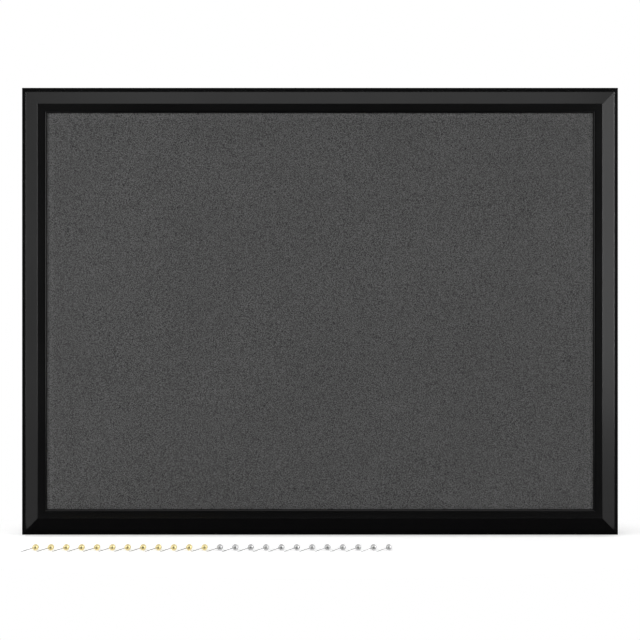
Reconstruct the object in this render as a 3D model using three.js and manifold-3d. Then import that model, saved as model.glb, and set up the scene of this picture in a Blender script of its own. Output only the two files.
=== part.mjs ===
// A framed fabric pin board, 24 by 18 inches, standing on its bottom edge, and its set of ball-headed pins laid out in
// a row in front of it. Millimetres, +X to the right, +Y to the back and +Z up. The origin is the middle of the bottom
// rail's outer face, on which the board stands.
import * as THREE from 'three';
import { mergeVertices } from 'three/addons/utils/BufferGeometryUtils.js';
import Module from 'manifold-3d';

// Driving dimensions. Depths are measured from the front plane of the frame towards the back.
const board = { width: 609.6, height: 457.2, depth: 25 };

const moulding = {
  faceWidth: 27.3, // outer edge to sight edge, seen from the front
  flatWidth: 9, // level band next to the sight edge
  edgeWidth: 5, // steep outer edge, seen from the front
  bevelFall: 3.9, // from the crest back to the steep edge
  edgeFall: 4.1, // from there back to the outer face
  outerRound: 0.5,
  edgeRound: 1.1,
  crestRound: 0.8,
  sightRound: 2.4,
  lipThickness: 2.8, // the recess from the front plane to the fabric
  rabbetWidth: 7,
  mitreGap: 0.1, // hairline left between the two cut ends of a corner
  roundSteps: 8,
};

const panel = {
  edgeClearance: 0.6, // between the covered panel and the rabbet wall
  fabricThickness: 1.2,
  fabricReturn: 22, // how far the cloth is folded over the back of the core
  coreThickness: 11.5,
  backingThickness: 3,
  seatGap: 0.1, // between flat faces that lie on each other
};

const vNail = {
  height: 10,
  legLength: 5,
  sheet: 0.8,
  halfAngle: 55, // degrees between a leg and the mitre line
  sink: 0.3, // how far its back edge lies below the frame's back
  pocketClearance: 0.3,
  outerInset: 6, // first nail's place, measured in from both outer edges
  innerInset: 13,
};

const point = {
  sheet: 0.6,
  width: 9.5,
  exposed: 9, // lies over the backing board
  driven: 6, // length in the rail, its arrow tip included
  tipLength: 3,
  tipWidth: 3,
  slotClearance: 0.3,
  topAndBottom: 3, // how many along each long rail
  eachSide: 2,
  endMarginLong: 120, // outermost point to the board's end
  endMarginShort: 130,
};

const hanger = {
  strapWidth: 9,
  sheet: 0.7, // folded double
  strapTail: 6, // screw axis to the lower end of the strap
  ringWire: 1.8,
  ringClearance: 0.25, // ring wire to the strap's eye, on the radius, and to its front
  ringSideRoom: 0.5, // strap's edge to where the ring's corner begins
  ringHeight: 10, // hinge axis to the crown's centre line
  ringCorner: 2,
  ringToScrew: 0.8, // hanging ring to the screw's head
  dropFromTop: 92, // top edge of the board to the screw
  ringSteps: 44,
  ringSides: 8,
};

const screw = {
  headDiameter: 5.6,
  headHeight: 1.6,
  shankDiameter: 2.8,
  length: 11,
  pointLength: 2.5,
  slotWidth: 0.9,
  slotDepth: 0.7,
  holeClearance: 0.3,
  sides: 20,
};

const bumper = { diameter: 11, thickness: 4, insetFromEnd: 34, softEdge: 0.8, sides: 28 };

const pin = {
  ballDiameter: 5.9,
  needleDiameter: 0.7,
  reach: 14.4, // centre of the ball to the needle's tip
  taper: 3,
  neckLength: 0.8,
  neckDiameter: 1.5,
  yaw: 25.4, // degrees that the needle points towards the viewer from straight left
  sides: 14,
  ballSteps: 9,
};

const pinRow = {
  perFinish: 12,
  pitch: 14.6,
  insetFromLeft: 34.6, // left edge of the board to the first ball
  aheadOfFrame: 56.4, // front plane of the frame to the line of the balls
};

// One overrun serves every cut that has to pass right through a face.
const overrun = 1;

// The outer face starts this far behind the front plane, and the origin is at the middle of what is left of it.
const sideStart = moulding.bevelFall + moulding.edgeFall;
const originDepth = (sideStart + board.depth) / 2;
const yAt = (depth) => depth - originDepth;

const backY = yAt(board.depth);
const rabbetFloor = moulding.faceWidth - moulding.rabbetWidth;
const degrees = THREE.MathUtils.degToRad;

// Places of the layers that lie behind the lip, from front to back.
const layers = {};
layers.fabricFront = moulding.lipThickness + panel.seatGap;
layers.coreFront = layers.fabricFront + panel.fabricThickness + panel.seatGap;
layers.coreBack = layers.coreFront + panel.coreThickness;
layers.fabricBack = layers.coreBack + panel.seatGap + panel.fabricThickness;
layers.backingFront = layers.fabricBack + panel.seatGap;
layers.backingBack = layers.backingFront + panel.backingThickness;
layers.pointFront = layers.backingBack + panel.seatGap;

const panelWidth = board.width - 2 * (rabbetFloor + panel.edgeClearance);
const panelHeight = board.height - 2 * (rabbetFloor + panel.edgeClearance);
const fabricSkin = panel.fabricThickness + panel.seatGap;
const coreWidth = panelWidth - 2 * fabricSkin;
const coreHeight = panelHeight - 2 * fabricSkin;

const materials = {
  frame: new THREE.MeshStandardMaterial({ color: 0x0c0c0d, roughness: 0.35, metalness: 0 }),
  fabric: new THREE.MeshStandardMaterial({ color: 0x4b4b4b, roughness: 0.95, metalness: 0 }),
  core: new THREE.MeshStandardMaterial({ color: 0x9c7a52, roughness: 0.9, metalness: 0 }),
  backing: new THREE.MeshStandardMaterial({ color: 0x6f5136, roughness: 0.7, metalness: 0 }),
  steel: new THREE.MeshStandardMaterial({ color: 0xb4b6b8, roughness: 0.35, metalness: 1 }),
  rubber: new THREE.MeshStandardMaterial({ color: 0x1b1b1b, roughness: 0.8, metalness: 0 }),
  gold: new THREE.MeshStandardMaterial({ color: 0xdcb45a, roughness: 0.15, metalness: 1 }),
  silver: new THREE.MeshStandardMaterial({ color: 0xc9cacc, roughness: 0.15, metalness: 1 }),
};

// Booleans.
const wasm = await Module();
wasm.setup();

function solidOf(geometry) {
  const plain = geometry.index ? geometry.toNonIndexed() : geometry.clone();
  plain.deleteAttribute('normal');
  plain.deleteAttribute('uv');
  const merged = mergeVertices(plain);
  return new wasm.Manifold(new wasm.Mesh({
    numProp: 3,
    vertProperties: merged.attributes.position.array,
    triVerts: new Uint32Array(merged.index.array),
  }));
}

function geometryOf(solid) {
  const mesh = solid.getMesh();
  const made = new THREE.BufferGeometry();
  made.setAttribute('position', new THREE.BufferAttribute(mesh.vertProperties, mesh.numProp));
  made.setIndex(new THREE.BufferAttribute(mesh.triVerts, 1));
  made.computeVertexNormals();
  return made;
}

function cutAway(geometry, tools) {
  let left = solidOf(geometry);
  for (const tool of tools) {
    left = left.subtract(solidOf(tool));
  }
  return geometryOf(left);
}

// Shared shapes.

// A box between two corners.
function boxBetween(low, high) {
  const size = new THREE.Vector3().subVectors(high, low);
  const middle = new THREE.Vector3().addVectors(high, low).multiplyScalar(0.5);
  return new THREE.BoxGeometry(size.x, size.y, size.z).translate(middle.x, middle.y, middle.z);
}

// A closed outline whose corners [x, y, round] are eased by a curve, where they have a round.
function easedOutline(corners) {
  const shape = new THREE.Shape();
  const at = corners.map(([x, y]) => new THREE.Vector2(x, y));
  corners.forEach(([x, y, round = 0], i) => {
    const previous = at[(i + corners.length - 1) % corners.length];
    const next = at[(i + 1) % corners.length];
    const enter = previous.clone().sub(at[i]).setLength(round).add(at[i]);
    const leave = next.clone().sub(at[i]).setLength(round).add(at[i]);
    if (i === 0) {
      shape.moveTo(enter.x, enter.y);
    } else {
      shape.lineTo(enter.x, enter.y);
    }
    if (round > 0) {
      shape.quadraticCurveTo(x, y, leave.x, leave.y);
    }
  });
  shape.closePath();
  return shape;
}

// Extrudes an outline drawn in depth and height along X, from -length / 2 to length / 2.
function extrudeAlongX(shape, length, curveSegments) {
  const made = new THREE.ExtrudeGeometry(shape, { depth: length, steps: 1, bevelEnabled: false, curveSegments });
  made.translate(0, 0, -length / 2);
  const turn = new THREE.Matrix4().makeBasis(
    new THREE.Vector3(0, 1, 0),
    new THREE.Vector3(0, 0, 1),
    new THREE.Vector3(1, 0, 0),
  );
  return made.applyMatrix4(turn);
}

// Extrudes an outline drawn in X and Z backwards, between two depths.
function extrudeToBack(shape, frontDepth, backDepth) {
  const made = new THREE.ExtrudeGeometry(shape, { depth: backDepth - frontDepth, steps: 1, bevelEnabled: false });
  made.rotateX(Math.PI / 2);
  return made.translate(0, yAt(backDepth), 0);
}

// Frame. Four lengths of one moulding, mitred at both ends. A rail lies along X with its outer face on z = 0 and its
// sight edge above, until it is turned to its side of the board.
function mouldingOutline() {
  const crest = moulding.faceWidth - moulding.flatWidth;
  return easedOutline([
    [yAt(sideStart), 0, moulding.outerRound],
    [yAt(moulding.bevelFall), moulding.edgeWidth, moulding.edgeRound],
    [yAt(0), crest, moulding.crestRound],
    [yAt(0), moulding.faceWidth, moulding.sightRound],
    [yAt(moulding.lipThickness), moulding.faceWidth],
    [yAt(moulding.lipThickness), rabbetFloor],
    [backY, rabbetFloor],
    [backY, 0],
  ]);
}

function mitredRail(length) {
  const rail = extrudeAlongX(mouldingOutline(), length, moulding.roundSteps);
  const place = rail.attributes.position;
  const halfGap = moulding.mitreGap * Math.SQRT1_2;
  for (let i = 0; i < place.count; i += 1) {
    const end = Math.sign(place.getX(i));
    place.setX(i, end * (length / 2 - halfGap - place.getZ(i)));
  }
  return rail;
}

// How each rail is turned about Y and where its outer face goes.
const sides = {
  bottom: { length: board.width, turn: 0, at: [0, 0, 0] },
  top: { length: board.width, turn: Math.PI, at: [0, 0, board.height] },
  left: { length: board.height, turn: Math.PI / 2, at: [-board.width / 2, 0, board.height / 2] },
  right: { length: board.height, turn: -Math.PI / 2, at: [board.width / 2, 0, board.height / 2] },
};

// Places along a rail, even and centred.
function evenPlaces(length, count, endMargin) {
  const span = length - 2 * endMargin;
  return Array.from({ length: count }, (_, i) => -span / 2 + (span * i) / (count - 1));
}

function pointPlaces(side) {
  return side === 'top' || side === 'bottom'
    ? evenPlaces(board.width, point.topAndBottom, point.endMarginLong)
    : evenPlaces(board.height, point.eachSide, point.endMarginShort);
}

// Flat steel points, driven sideways into the rabbet wall so that they hold the panel and backing in the frame.
function pointOutline(clearance) {
  const half = point.width / 2 + clearance;
  const tipHalf = point.tipWidth / 2 + clearance;
  const tip = rabbetFloor - point.driven - clearance;
  const shoulder = tip + point.tipLength;
  const inner = rabbetFloor + point.exposed + clearance;
  return new THREE.Shape([
    new THREE.Vector2(-tipHalf, tip),
    new THREE.Vector2(tipHalf, tip),
    new THREE.Vector2(half, shoulder),
    new THREE.Vector2(half, inner),
    new THREE.Vector2(-half, inner),
    new THREE.Vector2(-half, shoulder),
  ]);
}

function pointSolid(along, clearance) {
  const front = layers.pointFront - clearance;
  const back = layers.pointFront + point.sheet + clearance;
  return extrudeToBack(pointOutline(clearance), front, back).translate(along, 0, 0);
}

// V-nails, driven into the back of each corner across the mitre. In a rail's own frame the mitre of its right-hand end
// runs from the outer corner inwards, up and to the left.
function vNailOutline(clearance) {
  const half = vNail.sheet / 2 + clearance;
  const leg = vNail.legLength + clearance;
  const angle = degrees(vNail.halfAngle);
  const along = new THREE.Vector2(Math.cos(angle), Math.sin(angle));
  const mirrored = new THREE.Vector2(along.x, -along.y);
  const side = half / Math.sin(angle);
  const across = new THREE.Vector2(-along.y, along.x).multiplyScalar(half);
  const acrossMirrored = new THREE.Vector2(across.x, -across.y);
  return [
    new THREE.Vector2(-side, 0),
    along.clone().multiplyScalar(leg).add(across),
    along.clone().multiplyScalar(leg).sub(across),
    new THREE.Vector2(side, 0),
    mirrored.clone().multiplyScalar(leg).sub(acrossMirrored),
    mirrored.clone().multiplyScalar(leg).add(acrossMirrored),
  ];
}

// end is 1 for the right-hand end of a rail and -1 for its left-hand end.
function vNailSolid(length, end, inset, clearance) {
  const direction = new THREE.Vector2(-end, 1).normalize();
  const corner = new THREE.Vector2(end * (length / 2 - inset), inset);
  const turned = vNailOutline(clearance).map((p) => new THREE.Vector2(
    corner.x + p.x * direction.x - p.y * direction.y,
    corner.y + p.x * direction.y + p.y * direction.x,
  ));
  const back = board.depth - vNail.sink + (clearance > 0 ? vNail.sink + overrun : 0);
  const front = board.depth - vNail.sink - vNail.height - clearance;
  return extrudeToBack(new THREE.Shape(turned), front, back);
}

const nailInsets = { outer: vNail.outerInset, inner: vNail.innerInset };

// Pilot hole of the hanger's screw, on the two upright rails.
const screwAlong = board.height / 2 - hanger.dropFromTop;
const screwInset = rabbetFloor / 2;

function pilotHole(along) {
  const radius = screw.shankDiameter / 2 + screw.holeClearance;
  const depth = screw.length + screw.holeClearance;
  const hole = new THREE.CylinderGeometry(radius, radius, depth + overrun, screw.sides);
  return hole.translate(along, backY - (depth - overrun) / 2, screwInset);
}

function railGeometry(side) {
  const { length } = sides[side];
  const tools = pointPlaces(side).map((along) => pointSolid(along, point.slotClearance));
  for (const end of [-1, 1]) {
    for (const inset of Object.values(nailInsets)) {
      tools.push(vNailSolid(length, end, inset, vNail.pocketClearance));
    }
  }
  if (side === 'left') {
    tools.push(pilotHole(-screwAlong));
  }
  if (side === 'right') {
    tools.push(pilotHole(screwAlong));
  }
  return cutAway(mitredRail(length), tools);
}

// Panel. Cloth drawn over a soft core and folded round to its back, with a hard backing board behind it.
function panelBox(width, height, frontDepth, backDepth) {
  const middle = board.height / 2;
  return boxBetween(
    new THREE.Vector3(-width / 2, yAt(frontDepth), middle - height / 2),
    new THREE.Vector3(width / 2, yAt(backDepth), middle + height / 2),
  );
}

function fabricGeometry() {
  const skin = panelBox(panelWidth, panelHeight, layers.fabricFront, layers.fabricBack);
  const cavity = panelBox(
    coreWidth + 2 * panel.seatGap,
    coreHeight + 2 * panel.seatGap,
    layers.coreFront - panel.seatGap,
    layers.coreBack + panel.seatGap,
  );
  const folded = 2 * panel.fabricReturn;
  const window = panelBox(
    panelWidth - folded,
    panelHeight - folded,
    layers.coreBack,
    layers.fabricBack + overrun,
  );
  return cutAway(skin, [cavity, window]);
}

// Hanger. A folded strap with a screw below and an eye above, and a D-shaped ring that swings in the eye and hangs down
// over the strap. Its own frame has the screw's axis at the origin, on the back of the rail, with +Y away from the board.
const strapThickness = 2 * hanger.sheet;
const strapFront = panel.seatGap + strapThickness;
const wireRadius = hanger.ringWire / 2;
const eyeInner = wireRadius + hanger.ringClearance;
const eyeOuter = eyeInner + hanger.sheet;
const hingeY = panel.seatGap + eyeOuter;
const strapReach = hanger.ringHeight + wireRadius + hanger.ringToScrew + screw.headDiameter / 2;
const ringHalf = hanger.strapWidth / 2 + hanger.ringSideRoom + hanger.ringCorner;

function strapGeometry() {
  const shape = new THREE.Shape();
  const meet = Math.acos((strapThickness - eyeOuter) / eyeOuter);
  const low = -hanger.strapTail;
  shape.moveTo(panel.seatGap, low);
  shape.lineTo(panel.seatGap, strapReach);
  shape.absarc(hingeY, strapReach, eyeOuter, Math.PI, -meet, true);
  shape.lineTo(strapFront, low);
  shape.closePath();
  const eye = new THREE.Path();
  eye.absarc(hingeY, strapReach, eyeInner, 0, 2 * Math.PI, false);
  shape.holes.push(eye);
  const strap = extrudeAlongX(shape, hanger.strapWidth, screw.sides / 2);
  const radius = screw.shankDiameter / 2 + screw.holeClearance;
  const hole = new THREE.CylinderGeometry(radius, radius, strapThickness + 2 * overrun, screw.sides);
  return cutAway(strap, [hole.translate(0, panel.seatGap + strapThickness / 2, 0)]);
}

// How far the hanging ring leans out from the strap, so that its crown lies on the strap's front.
function ringLean() {
  const acrossStrap = hanger.strapWidth / 2 + wireRadius;
  const crownDrop = hanger.ringHeight - ringHalf + Math.sqrt(ringHalf ** 2 - acrossStrap ** 2);
  return Math.asin((strapFront + hanger.ringClearance + wireRadius - hingeY) / crownDrop);
}

// The ring's centre line: a straight leg on the hinge axis, two short sides and a round crown.
function ringGeometry() {
  const corner = hanger.ringCorner;
  const shoulder = hanger.ringHeight - ringHalf;
  const line = new THREE.Path();
  line.moveTo(0, 0);
  line.lineTo(ringHalf - corner, 0);
  line.quadraticCurveTo(ringHalf, 0, ringHalf, corner);
  line.lineTo(ringHalf, shoulder);
  line.absarc(0, shoulder, ringHalf, 0, Math.PI, false);
  line.lineTo(-ringHalf, corner);
  line.quadraticCurveTo(-ringHalf, 0, corner - ringHalf, 0);
  line.lineTo(0, 0);
  const places = line.getSpacedPoints(hanger.ringSteps).slice(0, -1);
  const curve = new THREE.CatmullRomCurve3(places.map((p) => new THREE.Vector3(p.x, 0, p.y)), true);
  const ring = new THREE.TubeGeometry(curve, hanger.ringSteps, wireRadius, hanger.ringSides, true);
  ring.rotateX(Math.PI + ringLean());
  return ring.translate(0, hingeY, strapReach);
}

// Pan-head screw with a straight slot.
function screwGeometry() {
  const seat = strapFront + panel.seatGap;
  const head = screw.headDiameter / 2;
  const shank = screw.shankDiameter / 2;
  const shoulderShare = 0.6;
  const crownShare = 0.55;
  const outline = [
    [0, seat - screw.length],
    [shank, seat - screw.length + screw.pointLength],
    [shank, seat],
    [head, seat],
    [head, seat + screw.headHeight * shoulderShare],
    [head * crownShare, seat + screw.headHeight],
    [0, seat + screw.headHeight],
  ].map(([x, y]) => new THREE.Vector2(x, y));
  const body = new THREE.LatheGeometry(outline, screw.sides);
  const slot = boxBetween(
    new THREE.Vector3(-head - overrun, seat + screw.headHeight - screw.slotDepth, -screw.slotWidth / 2),
    new THREE.Vector3(head + overrun, seat + screw.headHeight + overrun, screw.slotWidth / 2),
  );
  return cutAway(body, [slot]);
}

// Round rubber feet that keep the lower edge off the wall.
function bumperGeometry() {
  const radius = bumper.diameter / 2;
  const outline = [
    [0, panel.seatGap],
    [radius, panel.seatGap],
    [radius, bumper.thickness - bumper.softEdge],
    [radius - bumper.softEdge, bumper.thickness],
    [0, bumper.thickness],
  ].map(([x, y]) => new THREE.Vector2(x, y));
  return new THREE.LatheGeometry(outline, bumper.sides);
}

// Ball-headed pin, drawn with the ball's centre at the origin and the needle pointing down -Y.
function pinGeometry() {
  const ball = pin.ballDiameter / 2;
  const needle = pin.needleDiameter / 2;
  const neck = pin.neckDiameter / 2;
  const start = Math.asin(neck / ball);
  const outline = [
    new THREE.Vector2(0, -pin.reach),
    new THREE.Vector2(needle, pin.taper - pin.reach),
    new THREE.Vector2(needle, -ball - pin.neckLength),
  ];
  for (let i = 0; i <= pin.ballSteps; i += 1) {
    const angle = start + ((Math.PI - start) * i) / pin.ballSteps;
    const across = i === pin.ballSteps ? 0 : ball * Math.sin(angle);
    outline.push(new THREE.Vector2(across, -ball * Math.cos(angle)));
  }
  return new THREE.LatheGeometry(outline, pin.sides);
}

// Assembly.
const pinBoard = new THREE.Group();

function add(parent, name, geometry, material) {
  const mesh = new THREE.Mesh(geometry, material);
  mesh.name = name;
  parent.add(mesh);
  return mesh;
}

for (const [side, { length, turn, at }] of Object.entries(sides)) {
  const group = new THREE.Group();
  group.position.set(...at);
  group.rotation.y = turn;
  pinBoard.add(group);
  add(group, `rail_${side}`, railGeometry(side), materials.frame);
  pointPlaces(side).forEach((along, i) => {
    add(group, `retaining_point_${side}_${i + 1}`, pointSolid(along, 0), materials.steel);
  });
  if (side === 'top' || side === 'bottom') {
    for (const end of [-1, 1]) {
      const hand = (side === 'bottom') === (end < 0) ? 'left' : 'right';
      for (const [name, inset] of Object.entries(nailInsets)) {
        add(group, `v_nail_${side}_${hand}_${name}`, vNailSolid(length, end, inset, 0), materials.steel);
      }
    }
  }
}

add(pinBoard, 'fabric_facing', fabricGeometry(), materials.fabric);
add(
  pinBoard,
  'pinning_core',
  panelBox(coreWidth, coreHeight, layers.coreFront, layers.coreBack),
  materials.core,
);
add(
  pinBoard,
  'backing_board',
  panelBox(panelWidth, panelHeight, layers.backingFront, layers.backingBack),
  materials.backing,
);

for (const [hand, sign] of [['left', -1], ['right', 1]]) {
  const group = new THREE.Group();
  group.position.set(sign * (board.width / 2 - screwInset), backY, board.height - hanger.dropFromTop);
  pinBoard.add(group);
  add(group, `hanger_strap_${hand}`, strapGeometry(), materials.steel);
  add(group, `hanger_ring_${hand}`, ringGeometry(), materials.steel);
  add(group, `hanger_screw_${hand}`, screwGeometry(), materials.steel);
  const foot = add(pinBoard, `wall_bumper_${hand}`, bumperGeometry(), materials.rubber);
  foot.position.set(sign * (board.width / 2 - bumper.insetFromEnd), backY, screwInset);
}

// The pins lie on the surface that the board stands on, each on its ball and on the tip of its needle.
const ballRadius = pin.ballDiameter / 2;
const flatReach = Math.sqrt(pin.reach ** 2 - ballRadius ** 2);
const needleWay = new THREE.Vector3(
  -flatReach * Math.cos(degrees(pin.yaw)),
  -flatReach * Math.sin(degrees(pin.yaw)),
  -ballRadius,
).normalize();
const lie = new THREE.Quaternion().setFromUnitVectors(new THREE.Vector3(0, -1, 0), needleWay);
const pinShape = pinGeometry();

for (let i = 0; i < 2 * pinRow.perFinish; i += 1) {
  const finish = i < pinRow.perFinish ? 'gold' : 'silver';
  const number = String((i % pinRow.perFinish) + 1).padStart(2, '0');
  const mesh = add(pinBoard, `${finish}_pin_${number}`, pinShape, materials[finish]);
  const across = pinRow.insetFromLeft + i * pinRow.pitch - board.width / 2;
  mesh.position.set(across, yAt(-pinRow.aheadOfFrame), ballRadius);
  mesh.quaternion.copy(lie);
}

export default pinBoard;
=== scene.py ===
import math

import bmesh
import bpy
from mathutils import Matrix, Vector, noise


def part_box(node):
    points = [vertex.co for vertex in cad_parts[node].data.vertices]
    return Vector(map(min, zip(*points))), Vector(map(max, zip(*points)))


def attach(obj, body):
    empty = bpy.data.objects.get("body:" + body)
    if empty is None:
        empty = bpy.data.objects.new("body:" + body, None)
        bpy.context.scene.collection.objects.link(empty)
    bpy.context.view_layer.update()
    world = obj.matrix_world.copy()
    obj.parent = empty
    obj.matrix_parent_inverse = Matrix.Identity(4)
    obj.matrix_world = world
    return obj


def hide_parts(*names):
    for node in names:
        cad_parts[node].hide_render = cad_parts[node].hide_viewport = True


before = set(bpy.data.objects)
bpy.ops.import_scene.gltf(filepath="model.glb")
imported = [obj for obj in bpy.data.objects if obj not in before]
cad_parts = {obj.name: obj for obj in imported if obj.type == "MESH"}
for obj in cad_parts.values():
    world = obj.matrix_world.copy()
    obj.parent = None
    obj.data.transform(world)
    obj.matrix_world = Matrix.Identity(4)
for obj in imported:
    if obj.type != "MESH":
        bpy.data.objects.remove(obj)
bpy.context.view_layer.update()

scene = bpy.context.scene
MM = 0.001

# The photographer's camera: a 50 mm lens square to the board and a little below its middle. A slight lens
# shift sets the board's height in the picture, and the camera's own height sets how far below the board the
# pins show.
camera_distance = 901.1 * MM
camera_height = 207.9 * MM
front_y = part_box("rail_bottom")[0].y

lens = bpy.data.cameras.new("lens")
lens.lens = 50
lens.sensor_width = 36
lens.shift_y = 0.018
camera = bpy.data.objects.new("camera", lens)
camera.location = (0, front_y - camera_distance, camera_height)
camera.rotation_euler = (math.radians(90), 0, 0)
scene.collection.objects.link(camera)
scene.camera = camera
scene.view_settings.view_transform = "Standard"

# The set: a white table that runs into a white background. What the camera and mirrors see of it is white,
# and the table keeps the shadow of what stands and lies on it.
surroundings_strength = 0.46
table_white = 0.8
table_glow = 0.39
table_half = 12
oval_y = -0.03
oval_squash = 3
oval_inner = 0.30
oval_outer = 0.43


def plain_material(name):
    made = bpy.data.materials.new(name)
    made.use_nodes = True
    made.node_tree.nodes.clear()
    return made, made.node_tree.nodes, made.node_tree.links


def calculated(nodes, links, operation, *terms):
    node = nodes.new("ShaderNodeMath")
    node.operation = operation
    for socket, term in zip(node.inputs, terms):
        if isinstance(term, (int, float)):
            socket.default_value = term
        else:
            links.new(term, socket)
    return node.outputs[0]


def ranged(nodes, links, value, low, high, to_low=0.0, to_high=1.0, ease="LINEAR"):
    node = nodes.new("ShaderNodeMapRange")
    node.interpolation_type = ease
    node.inputs["From Min"].default_value = low
    node.inputs["From Max"].default_value = high
    node.inputs["To Min"].default_value = to_low
    node.inputs["To Max"].default_value = to_high
    links.new(value, node.inputs["Value"])
    return node.outputs["Result"]


def mixed_shaders(nodes, links, factor, first, second):
    mix = nodes.new("ShaderNodeMixShader")
    for socket, source in zip(mix.inputs, (factor, first, second)):
        links.new(source, socket)
    return mix.outputs[0]


def seen_by_camera_or_mirrors(nodes, links):
    rays = nodes.new("ShaderNodeLightPath").outputs
    direct = calculated(nodes, links, "MAXIMUM", rays["Is Camera Ray"], rays["Is Glossy Ray"])
    return calculated(nodes, links, "MAXIMUM", direct, rays["Is Transmission Ray"])


studio = bpy.data.worlds.new("studio")
scene.world = studio
studio.use_nodes = True
nodes, links = studio.node_tree.nodes, studio.node_tree.links
nodes.clear()
backdrops = []
for strength in (surroundings_strength, 1):
    backdrop = nodes.new("ShaderNodeBackground")
    backdrop.inputs["Color"].default_value = (1, 1, 1, 1)
    backdrop.inputs["Strength"].default_value = strength
    backdrops.append(backdrop.outputs[0])
out = nodes.new("ShaderNodeOutputWorld")
seen = seen_by_camera_or_mirrors(nodes, links)
links.new(mixed_shaders(nodes, links, seen, *backdrops), out.inputs["Surface"])

table_material, nodes, links = plain_material("white_table")
seen = seen_by_camera_or_mirrors(nodes, links)
paper = nodes.new("ShaderNodeBsdfDiffuse")
paper.inputs["Color"].default_value = (table_white, table_white, table_white, 1)
glow = nodes.new("ShaderNodeEmission")
links.new(calculated(nodes, links, "MULTIPLY", seen, table_glow), glow.inputs["Strength"])
lit = nodes.new("ShaderNodeAddShader")
links.new(paper.outputs[0], lit.inputs[0])
links.new(glow.outputs[0], lit.inputs[1])

# The shadow is kept in an oval round the foot of the board and the pins. Beyond it the table is plain white.
oval = nodes.new("ShaderNodeMapping")
oval.inputs["Location"].default_value = (0, -oval_y * oval_squash, 0)
oval.inputs["Scale"].default_value = (1, oval_squash, 1)
links.new(nodes.new("ShaderNodeTexCoord").outputs["Object"], oval.inputs["Vector"])
reach = nodes.new("ShaderNodeVectorMath")
reach.operation = "LENGTH"
links.new(oval.outputs[0], reach.inputs[0])
beyond = ranged(nodes, links, reach.outputs["Value"], oval_inner, oval_outer, ease="SMOOTHSTEP")
seen_beyond = calculated(nodes, links, "MULTIPLY", beyond, seen)
plain_white = nodes.new("ShaderNodeEmission").outputs[0]
out = nodes.new("ShaderNodeOutputMaterial")
links.new(mixed_shaders(nodes, links, seen_beyond, lit.outputs[0], plain_white), out.inputs["Surface"])


def mesh_object(name, shape, smooth_degrees=None):
    data = bpy.data.meshes.new(name)
    shape.to_mesh(data)
    shape.free()
    if smooth_degrees is not None:
        data.shade_smooth()
        data.set_sharp_from_angle(angle=math.radians(smooth_degrees))
    made = bpy.data.objects.new(name, data)
    scene.collection.objects.link(made)
    return made


shape = bmesh.new()
bmesh.ops.create_grid(shape, x_segments=1, y_segments=1, size=table_half)
table = mesh_object("table", shape)
table.data.materials.append(table_material)

# The lights: soft boxes above and at both sides, and on each side two strip lights that draw thin bright
# lines along the rounded edges of the frame. The ceiling box and the two fills light the board and the table
# without being mirrored. The right box and the strips are mirrored without lighting anything.
side_x = 1.36
side_y = -0.84
lamp_height = 0.45
aim_height = 0.2
side_aim_x = 0.1
side_size = (0.46, 0.95)
strip_aim_x = 0.3
strip_length = 0.9


def soft_box(name, at, aim, size, watts, mirrored=True, lighting=True):
    light = bpy.data.lights.new(name, "AREA")
    light.shape = "RECTANGLE"
    light.size, light.size_y = size
    light.energy = watts
    made = bpy.data.objects.new(name, light)
    made.location = at
    made.rotation_mode = "QUATERNION"
    made.rotation_quaternion = (Vector(aim) - Vector(at)).to_track_quat("-Z", "Y")
    made.visible_camera = False
    made.visible_glossy = mirrored
    made.visible_diffuse = lighting
    scene.collection.objects.link(made)


soft_box("top_box", at=(0, -0.86, 1.32), aim=(0, 0, 0.25), size=(1.3, 0.55), watts=1.85)
right_at = (side_x, side_y, lamp_height)
right_aim = (side_aim_x, 0, aim_height)
soft_box("right_box", right_at, right_aim, side_size, watts=2.25, lighting=False)
for name, side, watts in (("left_fill", -1, 10.4), ("right_fill", 1, 9.8)):
    fill_at = (side * side_x, side_y, lamp_height)
    fill_aim = (side * side_aim_x, 0, aim_height)
    soft_box(name, fill_at, fill_aim, side_size, watts, mirrored=False)
soft_box("ceiling_box", at=(0, -0.10, 1.5), aim=(0, -0.10, 0), size=(1.2, 0.2), watts=8.2, mirrored=False)
for side, name, rear_watts, front_watts in ((1, "right", 5.6, 4.2), (-1, "left", 1.7, 2.2)):
    for end, x, y, width, watts in (
        ("rear", 1.30, -0.38, 0.14, rear_watts),
        ("front", 1.12, -1.12, 0.10, front_watts),
    ):
        strip_at = (side * x, y, lamp_height)
        strip_aim = (side * strip_aim_x, 0, aim_height)
        soft_box(f"{name}_{end}_strip", strip_at, strip_aim, (width, strip_length), watts, lighting=False)

# Black cards that only reflections see keep the front band and the outer edge of the frame black. They stand
# beside and in front of the board, hang above it and lie on the table round its foot.
beside = 0.40
behind = 0.5
beside_rail = 0.306
across_top = (-beside, beside)
across_foot = (-0.312, 0.312)
left_of_foot = (-beside, -beside_rail)
right_of_foot = (beside_rail, beside)
on_table = 0.4 * MM
nearer_table = 0.3 * MM

black_card, nodes, links = plain_material("black_card")
card_paint = nodes.new("ShaderNodeBsdfDiffuse")
card_paint.inputs["Color"].default_value = (0.01, 0.01, 0.01, 1)
out = nodes.new("ShaderNodeOutputMaterial")
links.new(card_paint.outputs[0], out.inputs["Surface"])


def card(name, corners, material):
    shape = bmesh.new()
    shape.faces.new([shape.verts.new(corner) for corner in corners])
    made = mesh_object(name, shape)
    made.data.materials.append(material)
    made.visible_camera = False
    made.visible_diffuse = False
    made.visible_shadow = False
    made.visible_transmission = False


def upright_card(name, start, end, low, high, material):
    card(name, [(*start, low), (*end, low), (*end, high), (*start, high)], material)


def level_card(name, height, near_y, near_ends, far_y, far_ends):
    near = [(x, near_y, height) for x in near_ends]
    far = [(x, far_y, height) for x in reversed(far_ends)]
    card(name, near + far, black_card)


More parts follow.
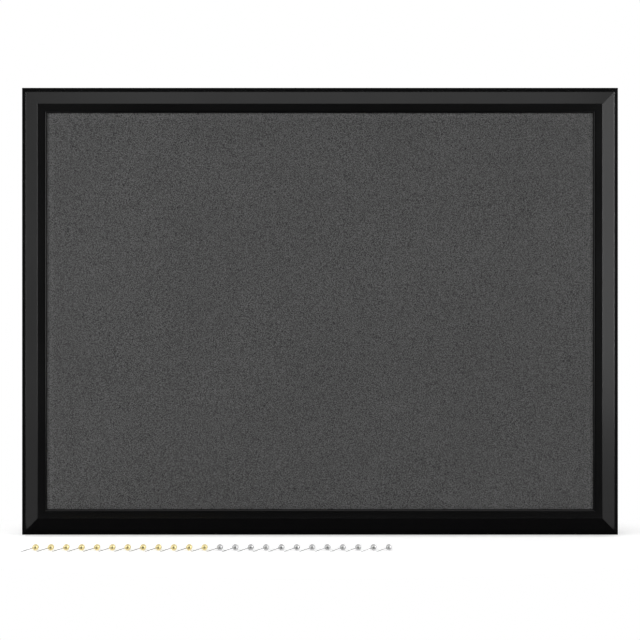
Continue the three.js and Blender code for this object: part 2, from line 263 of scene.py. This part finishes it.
for name, x in (("left_card", -beside), ("right_card", beside)):
    upright_card(name, start=(x, -0.045), end=(x, behind), low=0, high=0.7, material=black_card)
level_card("top_card", height=0.56, near_y=-0.075, near_ends=across_top, far_y=behind, far_ends=across_top)
upright_card("front_card", start=(-1.3, -1.75), end=(1.3, -1.75), low=0, high=1.5, material=black_card)
for name, height, near_y, near_ends, far_y, far_ends in (
    ("foot_card", on_table, -0.068, across_foot, -0.009, across_foot),
    ("table_card", on_table, -1.74, (-1.15, 1.15), -0.078, (-0.33, 0.33)),
    ("left_foot_card", nearer_table, -0.034, left_of_foot, 0.08, left_of_foot),
    ("right_foot_card", nearer_table, -0.034, right_of_foot, 0.08, right_of_foot),
):
    level_card(name, height, near_y, near_ends, far_y, far_ends)

# A low white card between the board and the pins brightens the pins' far sides. It shows on its front only.
white_card, nodes, links = plain_material("white_card")
turned_away = nodes.new("ShaderNodeNewGeometry").outputs["Backfacing"]
bright = nodes.new("ShaderNodeEmission").outputs[0]
clear = nodes.new("ShaderNodeBsdfTransparent").outputs[0]
out = nodes.new("ShaderNodeOutputMaterial")
links.new(mixed_shaders(nodes, links, turned_away, bright, clear), out.inputs["Surface"])
upright_card("pin_card", start=(-0.4, -0.03), end=(0.4, -0.03), low=0.001, high=0.12, material=white_card)

# Frame: four lengths of fibreboard moulding, mitred, glued and nailed at the corners and sprayed satin black.
# The spray ends a few millimetres round on the back, and the back and the rebate stay bare.
board_width = 2 * max(-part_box("rail_left")[0].x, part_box("rail_right")[1].x)
board_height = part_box("rail_top")[1].z
back_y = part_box("rail_bottom")[1].y
cloth_low, cloth_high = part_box("fabric_facing")
face_width = 27.3 * MM
lip_width = 7 * MM
rebate_wall = face_width - lip_width
overspray = 3.4 * MM
spray_waver = 1.2 * MM
back_margin = 0.25 * MM
rebate_margin = 0.3 * MM
lip_margin = 0.11 * MM
bare_extra_roughness = 0.5
grain_in_relief = 0.05
NUMBER, VECTOR = "NodeSocketFloat", "NodeSocketVector"


def new_group(name, inputs, outputs):
    group = bpy.data.node_groups.new(name, "ShaderNodeTree")
    for label, kind, value in inputs:
        socket = group.interface.new_socket(label, in_out="INPUT", socket_type=kind)
        if value is not None:
            socket.default_value = value
    for label, kind in outputs:
        group.interface.new_socket(label, in_out="OUTPUT", socket_type=kind)
    return group, group.nodes.new("NodeGroupInput"), group.nodes.new("NodeGroupOutput")


# A value that wanders between two limits over the surface, and a fine relief to go with it.
uneven, inside, outside = new_group(
    "uneven_surface",
    [
        ("Place", VECTOR, None),
        ("Patch Scale", NUMBER, 30.0),
        ("Grain Scale", NUMBER, 900.0),
        ("Low", NUMBER, 0.3),
        ("High", NUMBER, 0.4),
    ],
    [("Value", NUMBER), ("Relief", NUMBER)],
)
patches = uneven.nodes.new("ShaderNodeTexNoise")
patches.inputs["Detail"].default_value = 4
grains = uneven.nodes.new("ShaderNodeTexNoise")
grains.inputs["Detail"].default_value = 2
between = uneven.nodes.new("ShaderNodeMapRange")
between.inputs["From Min"].default_value = 0.3
between.inputs["From Max"].default_value = 0.7
for source, target in (
    (inside.outputs["Place"], patches.inputs["Vector"]),
    (inside.outputs["Patch Scale"], patches.inputs["Scale"]),
    (inside.outputs["Place"], grains.inputs["Vector"]),
    (inside.outputs["Grain Scale"], grains.inputs["Scale"]),
    (patches.outputs["Fac"], between.inputs["Value"]),
    (inside.outputs["Low"], between.inputs["To Min"]),
    (inside.outputs["High"], between.inputs["To Max"]),
    (between.outputs["Result"], outside.inputs["Value"]),
    (grains.outputs["Fac"], outside.inputs["Relief"]),
):
    uneven.links.new(source, target)


def shaded_material(name, metallic=0.0, roughness=0.5, specular=0.5):
    made, nodes, links = plain_material(name)
    surface = nodes.new("ShaderNodeBsdfPrincipled")
    surface.inputs["Metallic"].default_value = metallic
    surface.inputs["Roughness"].default_value = roughness
    surface.inputs["Specular IOR Level"].default_value = specular
    out = nodes.new("ShaderNodeOutputMaterial")
    links.new(surface.outputs[0], out.inputs["Surface"])
    place = nodes.new("ShaderNodeTexCoord").outputs["Object"]
    return made, nodes, links, surface, place


def unevenness(nodes, links, place, patch_scale, grain_scale, low, high):
    made = nodes.new("ShaderNodeGroup")
    made.node_tree = uneven
    links.new(place, made.inputs["Place"])
    made.inputs["Patch Scale"].default_value = patch_scale
    made.inputs["Grain Scale"].default_value = grain_scale
    made.inputs["Low"].default_value = low
    made.inputs["High"].default_value = high
    return made.outputs["Value"], made.outputs["Relief"]


def noise_pattern(nodes, links, place, scale, detail, roughness=0.5, distortion=0.0):
    made = nodes.new("ShaderNodeTexNoise")
    made.inputs["Scale"].default_value = scale
    made.inputs["Detail"].default_value = detail
    made.inputs["Roughness"].default_value = roughness
    made.inputs["Distortion"].default_value = distortion
    links.new(place, made.inputs["Vector"])
    return made.outputs["Fac"]


def relief(nodes, links, surface, height, strength, distance):
    bump = nodes.new("ShaderNodeBump")
    bump.inputs["Strength"].default_value = strength
    bump.inputs["Distance"].default_value = distance
    links.new(height, bump.inputs["Height"])
    links.new(bump.outputs[0], surface.inputs["Normal"])


def mixed_colours(nodes, links, factor, first, second):
    mix = nodes.new("ShaderNodeMix")
    mix.data_type = "RGBA"
    links.new(factor, mix.inputs["Factor"])
    for socket, value in ((mix.inputs["A"], first), (mix.inputs["B"], second)):
        if isinstance(value, tuple):
            socket.default_value = (*value, 1)
        else:
            links.new(value, socket)
    return mix.outputs["Result"]


def inset_from_edges(nodes, links, axes, half_width, top):
    aside = calculated(nodes, links, "ABSOLUTE", axes["X"])
    from_side = calculated(nodes, links, "SUBTRACT", half_width, aside)
    from_top = calculated(nodes, links, "SUBTRACT", top, axes["Z"])
    return calculated(nodes, links, "MINIMUM", from_side, from_top)


def separated(nodes, links, place):
    axes = nodes.new("ShaderNodeSeparateXYZ")
    links.new(place, axes.inputs[0])
    return axes.outputs


lacquer, nodes, links, surface, place = shaded_material("satin_black_lacquer", specular=0.25)
gloss, grain = unevenness(nodes, links, place, patch_scale=14, grain_scale=650, low=0.21, high=0.27)
axes = separated(nodes, links, place)
from_edges = inset_from_edges(nodes, links, axes, board_width / 2, board_height)
inset = calculated(nodes, links, "MINIMUM", from_edges, axes["Z"])
ragged = noise_pattern(nodes, links, place, scale=120, detail=3)
spray_end = calculated(nodes, links, "MULTIPLY_ADD", ragged, spray_waver, overspray - spray_waver / 2)
past_spray = calculated(nodes, links, "GREATER_THAN", inset, spray_end)
at_back = calculated(nodes, links, "GREATER_THAN", axes["Y"], back_y - back_margin)
bare_back = calculated(nodes, links, "MULTIPLY", past_spray, at_back)
in_rebate = calculated(nodes, links, "GREATER_THAN", inset, rebate_wall - rebate_margin)
behind_lip = calculated(nodes, links, "GREATER_THAN", axes["Y"], cloth_low.y - lip_margin)
bare_rebate = calculated(nodes, links, "MULTIPLY", in_rebate, behind_lip)
bare = calculated(nodes, links, "MAXIMUM", bare_back, bare_rebate)
fibres = noise_pattern(nodes, links, place, scale=1100, detail=6, roughness=0.8, distortion=0.8)
flow, _ = unevenness(nodes, links, place, patch_scale=34, grain_scale=300, low=0.86, high=1.08)
flowing = calculated(nodes, links, "MULTIPLY", fibres, flow)
streaks = ranged(nodes, links, flowing, low=0.30, high=0.70)
bare_colour = mixed_colours(nodes, links, streaks, (0.25, 0.155, 0.08), (0.53, 0.385, 0.235))
black_colour = mixed_colours(nodes, links, grain, (0.0018, 0.0018, 0.0019), (0.0044, 0.0044, 0.0045))
both_colours = mixed_colours(nodes, links, bare, black_colour, bare_colour)
links.new(both_colours, surface.inputs["Base Color"])
rougher_where_bare = calculated(nodes, links, "MULTIPLY_ADD", bare, bare_extra_roughness, gloss)
links.new(rougher_where_bare, surface.inputs["Roughness"])
bare_relief = calculated(nodes, links, "MULTIPLY", bare, fibres)
fine_relief = calculated(nodes, links, "MULTIPLY_ADD", grain, grain_in_relief, bare_relief)
relief(nodes, links, surface, fine_relief, strength=0.5, distance=0.06 * MM)


def refinish(name, material):
    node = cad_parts[name]
    node.data.materials.clear()
    node.data.materials.append(material)


for side in ("bottom", "top", "left", "right"):
    refinish(f"rail_{side}", lacquer)

# Cloth face: a dark grey needled felt, stretched over the core, folded round its edges and glued to its back
# with mitred corners. Its short nap gives the fine speckle. Near the frame's lip the felt is painted lighter,
# a painted light that offsets the shade the lip casts on it.
cloth_thickness = 1.2 * MM
felt_share = 0.96
cloth_return = 22 * MM
fold_round = 1.0 * MM
fold_radians = 1
cloth_hollow = 0.16 * MM
hollows_per_metre = 22
fibre_stretch = 3.5
fibre_fineness = -7.0
fibres_in_nap = 0.45
# Painted light: how near the lip the felt is painted lighter, and by how much, to offset the lip's shade.
painted_light_inner = 0.5 * MM
painted_light_outer = 9 * MM
painted_light_gain = 1.28
hair = 0.01 * MM
middle = Vector((0, 0, board_height / 2))
half_width = cloth_high.x - cloth_thickness / 2
half_height = (cloth_high.z - cloth_low.z) / 2 - cloth_thickness / 2
cloth_front = cloth_low.y + cloth_thickness / 2
cloth_back = cloth_high.y - cloth_thickness / 2
cloth_depth = cloth_back - cloth_front

shape = bmesh.new()
bmesh.ops.create_grid(shape, x_segments=96, y_segments=70, size=1)
for vert in shape.verts:
    vert.co = Vector((vert.co.x * half_width, cloth_front, middle.z + vert.co.y * half_height))


def moved_copy(shape, edges, offset):
    made = bmesh.ops.extrude_edge_only(shape, edges=edges)["geom"]
    verts = [item for item in made if isinstance(item, bmesh.types.BMVert)]
    bmesh.ops.translate(shape, verts=verts, vec=offset)
    kept = set(verts)
    edges = [item for item in made if isinstance(item, bmesh.types.BMEdge) and kept.issuperset(item.verts)]
    return edges, verts


def rounded(shape, geom, offset, segments, affect="EDGES", clamp_overlap=False):
    bmesh.ops.bevel(
        shape,
        geom=geom,
        offset=offset,
        segments=segments,
        profile=0.5,
        affect=affect,
        material=-1,
        clamp_overlap=clamp_overlap,
    )


rim = [item for item in shape.edges if item.is_boundary]
rim, verts = moved_copy(shape, rim, Vector((0, cloth_depth, 0)))
rim, verts = moved_copy(shape, rim, Vector((0, 0, 0)))
for vert in verts:
    vert.co.x *= (half_width - cloth_return) / half_width
    vert.co.z = middle.z + (vert.co.z - middle.z) * (half_height - cloth_return) / half_height
bmesh.ops.recalc_face_normals(shape, faces=shape.faces)
folds = [item for item in shape.edges if len(item.link_faces) == 2 and item.calc_face_angle(0) > fold_radians]
rounded(shape, folds, fold_round, segments=4, clamp_overlap=True)

# The felt follows the slight unevenness of the core, always a little behind its nominal face. It is a little
# thinner than its solid, so that it stays within it.
for vert in shape.verts:
    if abs(vert.co.y - cloth_front) < hair:
        wave = noise.noise(Vector((vert.co.x, 0, vert.co.z)) * hollows_per_metre)
        vert.co.y += cloth_hollow * (0.5 + 0.5 * wave)
cloth = mesh_object("felt_face", shape, smooth_degrees=60)
wall = cloth.modifiers.new("thickness", "SOLIDIFY")
wall.thickness = cloth_thickness * felt_share
wall.offset = 0

felt, nodes, links, surface, place = shaded_material("grey_felt", roughness=0.95, specular=0.2)
surface.inputs["Sheen Weight"].default_value = 0.12
surface.inputs["Sheen Roughness"].default_value = 0.5
fleck = noise_pattern(nodes, links, place, scale=1050, detail=2, roughness=0.6)
crossing = 0.0
for lie_degrees in (14, 58, -31, -77):
    laid = nodes.new("ShaderNodeMapping")
    laid.vector_type = "TEXTURE"
    laid.inputs["Rotation"].default_value = (0, math.radians(lie_degrees), 0)
    laid.inputs["Scale"].default_value = (fibre_stretch, 1, 1)
    links.new(place, laid.inputs["Vector"])
    fibre = noise_pattern(nodes, links, laid.outputs[0], scale=1100, detail=1, distortion=0.9)
    from_line = calculated(nodes, links, "ABSOLUTE", calculated(nodes, links, "SUBTRACT", fibre, 0.5))
    line = calculated(nodes, links, "MULTIPLY_ADD", from_line, fibre_fineness, 1.0)
    crossing = calculated(nodes, links, "MAXIMUM", crossing, line)
nap = calculated(nodes, links, "MULTIPLY_ADD", crossing, fibres_in_nap, fleck)
nap_shade = ranged(nodes, links, nap, low=0.67, high=1.03)
nap_colour = mixed_colours(nodes, links, nap_shade, (0.002, 0.002, 0.002), (0.115, 0.115, 0.115))
cloudy = noise_pattern(nodes, links, place, scale=9, detail=4)
clouds = ranged(nodes, links, cloudy, low=0.3, high=0.7, to_low=0.95, to_high=1.05)
axes = separated(nodes, links, place)
sight_half = board_width / 2 - face_width
from_lip = inset_from_edges(nodes, links, axes, sight_half, board_height - face_width)
# Painted light: the felt's colour is raised toward the lip, offsetting the shade the lip casts on it.
painted_border_light = ranged(
    nodes, links, from_lip, painted_light_inner, painted_light_outer, painted_light_gain, to_high=1.0, ease="SMOOTHSTEP"
)
tone = nodes.new("ShaderNodeVectorMath")
tone.operation = "SCALE"
links.new(nap_colour, tone.inputs[0])
links.new(calculated(nodes, links, "MULTIPLY", clouds, painted_border_light), tone.inputs["Scale"])
links.new(tone.outputs[0], surface.inputs["Base Color"])
relief(nodes, links, surface, nap, strength=0.45, distance=0.35 * MM)
cloth.data.materials.append(felt)
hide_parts("fabric_facing")
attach(cloth, "board")

# Core: a soft fibre board of wood and paper fibres that takes a needle and closes again when it is pulled
# out. It is cut to size with square edges, and hidden all round by the felt.
core_fibre, nodes, links, surface, place = shaded_material("soft_fibre_board", roughness=0.95, specular=0.2)
matted = noise_pattern(nodes, links, place, scale=300, detail=8, roughness=0.75, distortion=0.8)
matted_colour = mixed_colours(nodes, links, matted, (0.19, 0.12, 0.06), (0.52, 0.38, 0.23))
links.new(matted_colour, surface.inputs["Base Color"])
relief(nodes, links, surface, matted, strength=0.6, distance=0.4 * MM)
refinish("pinning_core", core_fibre)

# Backing: a sheet of brown hardboard laid in the rebate with its rough side out. That side carries the print
# of the wire screen on which the board was pressed.
stain_strength = 0.35
screen_strength = 0.45
pulp_in_relief = 0.6

hardboard, nodes, links, surface, place = shaded_material("hardboard", roughness=0.8, specular=0.3)
pulp = noise_pattern(nodes, links, place, scale=520, detail=6, roughness=0.7)
stain, _ = unevenness(nodes, links, place, patch_scale=7, grain_scale=480, low=0.0, high=1.0)
pulp_shade = ranged(nodes, links, pulp, low=0.34, high=0.66)
brown = mixed_colours(nodes, links, pulp_shade, (0.115, 0.062, 0.029), (0.30, 0.18, 0.095))
faint_stain = calculated(nodes, links, "MULTIPLY", stain, stain_strength)
stained = mixed_colours(nodes, links, faint_stain, brown, (0.33, 0.21, 0.12))
screen_wires = []
for direction in ("X", "Z"):
    wave = nodes.new("ShaderNodeTexWave")
    wave.bands_direction = direction
    wave.inputs["Scale"].default_value = 190
    wave.inputs["Distortion"].default_value = 0.6
    links.new(place, wave.inputs["Vector"])
    screen_wires.append(wave.outputs["Fac"])
screen = calculated(nodes, links, "MULTIPLY", *screen_wires)
pressed_pulp = calculated(nodes, links, "MULTIPLY_ADD", pulp, pulp_in_relief, screen)
relief(nodes, links, surface, pressed_pulp, strength=0.8, distance=0.3 * MM)
faint_screen = calculated(nodes, links, "MULTIPLY", screen, screen_strength)
screened = mixed_colours(nodes, links, faint_screen, stained, (0.36, 0.24, 0.14))
links.new(screened, surface.inputs["Base Color"])
refinish("backing_board", hardboard)

# Fixings: zinc-plated framer's points, shot sideways into the rebate so that they lie on the backing, and
# V-nails pressed across the mitres from behind. Both are stamped from strip.
point_nose = 1.5 * MM
point_shoulder = 3 * MM
point_corner = 1.2 * MM
point_burr = 0.12 * MM
rim_radians = 1.2

zinc, nodes, links, surface, place = shaded_material("zinc_plate", metallic=1, specular=0.5)
spangle = nodes.new("ShaderNodeTexVoronoi")
spangle.inputs["Scale"].default_value = 900
links.new(place, spangle.inputs["Vector"])
rubbed, scratches = unevenness(nodes, links, place, patch_scale=260, grain_scale=2500, low=0.26, high=0.46)
tint = mixed_colours(nodes, links, spangle.outputs["Color"], (0.50, 0.51, 0.53), (0.66, 0.67, 0.69))
links.new(tint, surface.inputs["Base Color"])
links.new(rubbed, surface.inputs["Roughness"])
relief(nodes, links, surface, scratches, strength=0.25, distance=0.05 * MM)

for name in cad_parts:
    if name.startswith("v_nail"):
        refinish(name, zinc)


# Each point is a small plate: a blunt arrow at the driven end, rounded corners and broken edges.
def framers_point(name):
    low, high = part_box(name)
    centre = (low + high) / 2
    size = high - low
    to_middle = middle - centre
    if size.z > size.x:
        inward = Vector((0, 0, math.copysign(1, to_middle.z)))
        across = Vector((1, 0, 0))
        long, wide = size.z, size.x
    else:
        inward = Vector((math.copysign(1, to_middle.x), 0, 0))
        across = Vector((0, 0, 1))
        long, wide = size.x, size.z
    outer = centre - inward * long / 2
    outline = [
        outer + across * point_nose,
        outer + inward * point_shoulder + across * wide / 2,
        outer + inward * long + across * wide / 2,
        outer + inward * long - across * wide / 2,
        outer + inward * point_shoulder - across * wide / 2,
        outer - across * point_nose,
    ]
    shape = bmesh.new()
    shape.faces.new([shape.verts.new((point.x, low.y, point.z)) for point in outline])
    ends = sorted(shape.verts, key=lambda vert: (vert.co - outer).dot(inward))[-2:]
    rounded(shape, ends, point_corner, segments=5, affect="VERTICES")
    made = bmesh.ops.extrude_face_region(shape, geom=list(shape.faces))["geom"]
    raised = [item for item in made if isinstance(item, bmesh.types.BMVert)]
    bmesh.ops.translate(shape, verts=raised, vec=(0, size.y, 0))
    bmesh.ops.recalc_face_normals(shape, faces=shape.faces)
    rims = [
        item
        for item in shape.edges
        if item.calc_face_angle(0) > rim_radians and abs(item.verts[0].co.y - item.verts[1].co.y) < hair
    ]
    rounded(shape, rims, point_burr, segments=2)
    point = mesh_object(f"{name}_plate", shape, smooth_degrees=40)
    point.data.materials.append(zinc)
    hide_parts(name)
    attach(point, "board")


for name in list(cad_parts):
    if name.startswith("retaining_point"):
        framers_point(name)

# Hangers: on each upright a plated strap, folded round the straight leg of a D-shaped wire ring and held by
# one pan-head screw. The rings swing, and hang down over their straps.
strap_sheet = 0.7 * MM
strap_corner = 2.2 * MM
strap_burr = 0.1 * MM
ring_wire = 1.8 * MM
ring_height = 10 * MM
ring_corner = 2 * MM
slot_half = 0.45 * MM
slot_floor = 0.85 * MM
dome_from = 0.8 * MM
head_height = 1.6
# Radius and height above the seat of each round of the screw, in millimetres, from its tip to its crown.
screw_rounds = (
    (1.4, -9.5),
    (1.4, 0),
    (2.7, 0),
    (2.8, 0.15),
    (2.8, 0.75),
    (2.62, 1.1),
    (2.2, 1.4),
    (1.5, 1.56),
    (0.6, head_height),
)


# A finish that is a little uneven in colour and gloss, as handling and plating leave it.
def uneven_finish(name, dark, light, patch_scale, grain_scale, low, high, metallic=1, specular=0.5):
    made, nodes, links, surface, place = shaded_material(name, metallic=metallic, specular=specular)
    gloss, grain = unevenness(nodes, links, place, patch_scale, grain_scale, low, high)
    links.new(mixed_colours(nodes, links, grain, dark, light), surface.inputs["Base Color"])
    links.new(gloss, surface.inputs["Roughness"])
    return made, nodes, links, surface, grain


plated, nodes, links, surface, grain = uneven_finish(
    "bright_nickel",
    dark=(0.62, 0.61, 0.58),
    light=(0.74, 0.73, 0.70),
    patch_scale=320,
    grain_scale=3000,
    low=0.30,
    high=0.40,
)
relief(nodes, links, surface, grain, strength=0.1, distance=0.03 * MM)


def strap_piece(hand):
    low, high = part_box(f"hanger_strap_{hand}")
    eye = (high.y - low.y) / 2
    hinge = Vector(((low.x + high.x) / 2, (low.y + high.y) / 2, high.z - eye))
    half_sheet = strap_sheet / 2
    shape = bmesh.new()
    foot = shape.edges.new([shape.verts.new((x, low.y + half_sheet, low.z)) for x in (low.x, high.x)])
    edges, verts = moved_copy(shape, [foot], Vector((0, 0, hinge.z - low.z)))
    drop = math.acos((eye - 3 * half_sheet) / (eye - half_sheet))
    spun = bmesh.ops.spin(
        shape,
        geom=[*verts, *edges],
        cent=hinge,
        axis=(1, 0, 0),
        dvec=(0, 0, 0),
        angle=-(2 * math.pi - drop),
        steps=22,
        use_merge=False,
    )["geom_last"]
    last = [item for item in spun if isinstance(item, bmesh.types.BMEdge)]
    edge_z = last[0].verts[0].co.z
    moved_copy(shape, last, Vector((0, 0, low.z - edge_z)))
    corners = [vert for vert in shape.verts if abs(vert.co.z - low.z) < hair]
    rounded(shape, corners, strap_corner, segments=6, affect="VERTICES")
    bmesh.ops.recalc_face_normals(shape, faces=shape.faces)
    strap = mesh_object(f"strap_{hand}", shape, smooth_degrees=35)
    wall = strap.modifiers.new("sheet", "SOLIDIFY")
    wall.thickness = strap_sheet
    wall.offset = 0
    soft = strap.modifiers.new("broken_edges", "BEVEL")
    soft.width = strap_burr
    soft.segments = 2
    soft.limit_method = "ANGLE"
    strap.data.materials.append(plated)
    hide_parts(f"hanger_strap_{hand}")
    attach(strap, "board")
    return hinge


# The wire starts in the middle of the ring's straight leg, goes round in straight runs and turns, and closes.
def ring_piece(hand, hinge):
    low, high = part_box(f"hanger_ring_{hand}")
    half = (high.x - low.x - ring_wire) / 2
    shoulder = ring_height - half
    shape = bmesh.new()
    bmesh.ops.create_circle(shape, segments=16, radius=ring_wire / 2)
    quarter = Matrix.Rotation(math.pi / 2, 3, "Y")
    bmesh.ops.rotate(shape, verts=shape.verts, cent=(0, 0, 0), matrix=quarter)
    verts, edges = list(shape.verts), list(shape.edges)
    way = [
        ("run", half - ring_corner, (1, 0, 0)),
        ("turn", math.pi / 2, (half - ring_corner, 0, -ring_corner), 8),
        ("run", shoulder - ring_corner, (0, 0, -1)),
        ("turn", math.pi, (0, 0, -shoulder), 32),
        ("run", shoulder - ring_corner, (0, 0, 1)),
        ("turn", math.pi / 2, (ring_corner - half, 0, -ring_corner), 8),
        ("run", half - ring_corner, (1, 0, 0)),
    ]
    for step in way:
        if step[0] == "run":
            edges, verts = moved_copy(shape, edges, Vector(step[2]) * step[1])
        else:
            spun = bmesh.ops.spin(
                shape,
                geom=[*verts, *edges],
                cent=step[2],
                axis=(0, 1, 0),
                dvec=(0, 0, 0),
                angle=step[1],
                steps=step[3],
                use_merge=False,
            )["geom_last"]
            verts = [item for item in spun if isinstance(item, bmesh.types.BMVert)]
            edges = [item for item in spun if isinstance(item, bmesh.types.BMEdge)]
    bmesh.ops.remove_doubles(shape, verts=shape.verts, dist=hair)
    bmesh.ops.recalc_face_normals(shape, faces=shape.faces)
    lean = Matrix.Rotation(math.asin((high.y - hinge.y - ring_wire / 2) / ring_height), 3, "X")
    bmesh.ops.rotate(shape, verts=shape.verts, cent=(0, 0, 0), matrix=lean)
    bmesh.ops.translate(shape, verts=shape.verts, vec=hinge)
    ring = mesh_object(f"ring_{hand}_wire", shape, smooth_degrees=60)
    ring.data.materials.append(plated)
    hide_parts(f"hanger_ring_{hand}")
    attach(ring, f"ring_{hand}")


# Carries a round of edges on from radius to radius, and closes its last round.
def drawn_out(shape, edges, across, rounds, along):
    for radius, level in rounds:
        edges, verts = moved_copy(shape, edges, Vector((0, 0, 0)))
        ratio = radius / across
        for vert in verts:
            vert.co = [value * ratio for value in vert.co]
            vert.co[along] = level
        across = radius
    bmesh.ops.contextual_create(shape, geom=edges)


def screw_piece(hand):
    low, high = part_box(f"hanger_screw_{hand}")
    axis = Vector(((low.x + high.x) / 2, 0, (low.z + high.z) / 2))
    seat = high.y - head_height * MM
    tip_radius, tip_height = screw_rounds[0]
    shape = bmesh.new()
    bmesh.ops.create_circle(shape, segments=40, radius=tip_radius * MM, cap_ends=True)
    quarter = Matrix.Rotation(math.pi / 2, 3, "X")
    bmesh.ops.rotate(shape, verts=shape.verts, cent=(0, 0, 0), matrix=quarter)
    bmesh.ops.translate(shape, verts=shape.verts, vec=(0, seat + tip_height * MM, 0))
    rounds = [(radius, seat + height * MM) for radius, height in screw_rounds[1:]]
    drawn_out(shape, list(shape.edges), tip_radius, rounds, along=1)
    for side in (-1, 1):
        everything = [*shape.verts, *shape.edges, *shape.faces]
        bmesh.ops.bisect_plane(shape, geom=everything, plane_co=(0, 0, side * slot_half), plane_no=(0, 0, 1))
    top = [
        face
        for face in shape.faces
        if face.calc_center_median().y > seat + dome_from and abs(face.calc_center_median().z) < slot_half
    ]
    made = bmesh.ops.extrude_face_region(shape, geom=top)["geom"]
    bmesh.ops.delete(shape, geom=[face for face in top if face.is_valid], context="FACES_ONLY")
    for item in made:
        if isinstance(item, bmesh.types.BMVert):
            item.co.y = seat + slot_floor
    bmesh.ops.recalc_face_normals(shape, faces=shape.faces)
    bmesh.ops.translate(shape, verts=shape.verts, vec=axis)
    screw = mesh_object(f"screw_{hand}", shape, smooth_degrees=35)
    screw.data.materials.append(zinc)
    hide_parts(f"hanger_screw_{hand}")
    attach(screw, "board")


for hand in ("left", "right"):
    ring_piece(hand, strap_piece(hand))
    screw_piece(hand)

# Bumpers: two black rubber pads stuck to the lower corners of the back, which keep the board off the wall and
# stop it from shifting. They are moulded with a soft rounded face.
pad_round = 1.3 * MM

rubber, nodes, links, surface, grain = uneven_finish(
    "black_rubber",
    dark=(0.010, 0.010, 0.010),
    light=(0.024, 0.024, 0.025),
    patch_scale=200,
    grain_scale=1800,
    low=0.6,
    high=0.8,
    metallic=0,
    specular=0.3,
)
relief(nodes, links, surface, grain, strength=0.4, distance=0.1 * MM)

for hand in ("left", "right"):
    low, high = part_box(f"wall_bumper_{hand}")
    centre = (low + high) / 2
    radius = (high.x - low.x) / 2
    shape = bmesh.new()
    bmesh.ops.create_cone(
        shape, cap_ends=True, segments=48, radius1=radius, radius2=radius, depth=high.y - low.y
    )
    quarter = Matrix.Rotation(-math.pi / 2, 3, "X")
    bmesh.ops.rotate(shape, verts=shape.verts, cent=(0, 0, 0), matrix=quarter)
    bmesh.ops.translate(shape, verts=shape.verts, vec=centre)
    face_edges = [item for item in shape.edges if all(vert.co.y > centre.y for vert in item.verts)]
    rounded(shape, face_edges, pad_round, segments=6)
    pad = mesh_object(f"bumper_{hand}", shape, smooth_degrees=40)
    pad.data.materials.append(rubber)
    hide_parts(f"wall_bumper_{hand}")
    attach(pad, "board")

# Pins: a polished metal-coated ball with a short neck, pressed onto a thin steel needle. Half of the set is
# gold and half silver. They lie loose on the table, each on its ball and its needle's tip.
ball_radius = 2.95 * MM
needle_radius = 0.35 * MM
neck_radius = 0.75 * MM
neck_end = 3.75 * MM
neck_opening = -0.96 * ball_radius
neck_rounds = (
    (neck_radius, -0.975 * ball_radius),
    (0.76 * neck_radius, -3.2 * MM),
    (1.25 * needle_radius, -neck_end),
)
taper_length = 3 * MM
needle_reach = 14.4 * MM
needle_rounds = (
    (needle_radius, taper_length - needle_reach),
    (0.06 * MM, 0.1 * MM - needle_reach),
    (0.01 * MM, -needle_reach),
)
pins_of_a_kind = 12
yaw = math.radians(25.4)
flat_reach = math.sqrt(needle_reach**2 - ball_radius**2)
needle_way = Vector((-flat_reach * math.cos(yaw), -flat_reach * math.sin(yaw), -ball_radius)).normalized()
lie = Vector((0, 0, 1)).rotation_difference(-needle_way).to_matrix()

finishes = {}
for finish, dark, light in (
    ("gold", (0.80, 0.68, 0.34), (0.88, 0.76, 0.42)),
    ("silver", (0.54, 0.54, 0.54), (0.63, 0.63, 0.63)),
):
    finishes[finish] = uneven_finish(
        f"{finish}_coat", dark, light, patch_scale=500, grain_scale=4000, low=0.32, high=0.38
    )[0]
needle_steel = uneven_finish(
    "needle_steel",
    dark=(0.36, 0.36, 0.36),
    light=(0.44, 0.44, 0.44),
    patch_scale=700,
    grain_scale=5000,
    low=0.22,
    high=0.32,
)[0]


def pin_pieces(name, finish):
    low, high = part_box(name)
    centre = Vector((high.x - ball_radius, high.y - ball_radius, low.z + ball_radius))
    place_pin = Matrix.Translation(centre) @ lie.to_4x4()
    shape = bmesh.new()
    bmesh.ops.create_uvsphere(shape, u_segments=32, v_segments=20, radius=ball_radius)
    pole = [vert for vert in shape.verts if vert.co.z < neck_opening]
    bmesh.ops.delete(shape, geom=pole, context="VERTS")
    edges = [item for item in shape.edges if item.is_boundary]
    drawn_out(shape, edges, edges[0].verts[0].co.xy.length, neck_rounds, along=2)
    bmesh.ops.recalc_face_normals(shape, faces=shape.faces)
    bmesh.ops.transform(shape, matrix=place_pin, verts=shape.verts)
    ball = mesh_object(f"{name}_ball", shape, smooth_degrees=50)
    ball.data.materials.append(finishes[finish])
    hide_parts(name)
    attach(ball, name)

    shape = bmesh.new()
    bmesh.ops.create_circle(shape, segments=12, radius=needle_radius, cap_ends=True)
    bmesh.ops.translate(shape, verts=shape.verts, vec=(0, 0, -ball_radius))
    drawn_out(shape, list(shape.edges), needle_radius, needle_rounds, along=2)
    bmesh.ops.recalc_face_normals(shape, faces=shape.faces)
    bmesh.ops.transform(shape, matrix=place_pin, verts=shape.verts)
    needle = mesh_object(f"{name}_needle", shape, smooth_degrees=50)
    needle.data.materials.append(needle_steel)
    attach(needle, name)


for finish in finishes:
    for number in range(1, pins_of_a_kind + 1):
        pin_pieces(f"{finish}_pin_{number:02d}", finish)
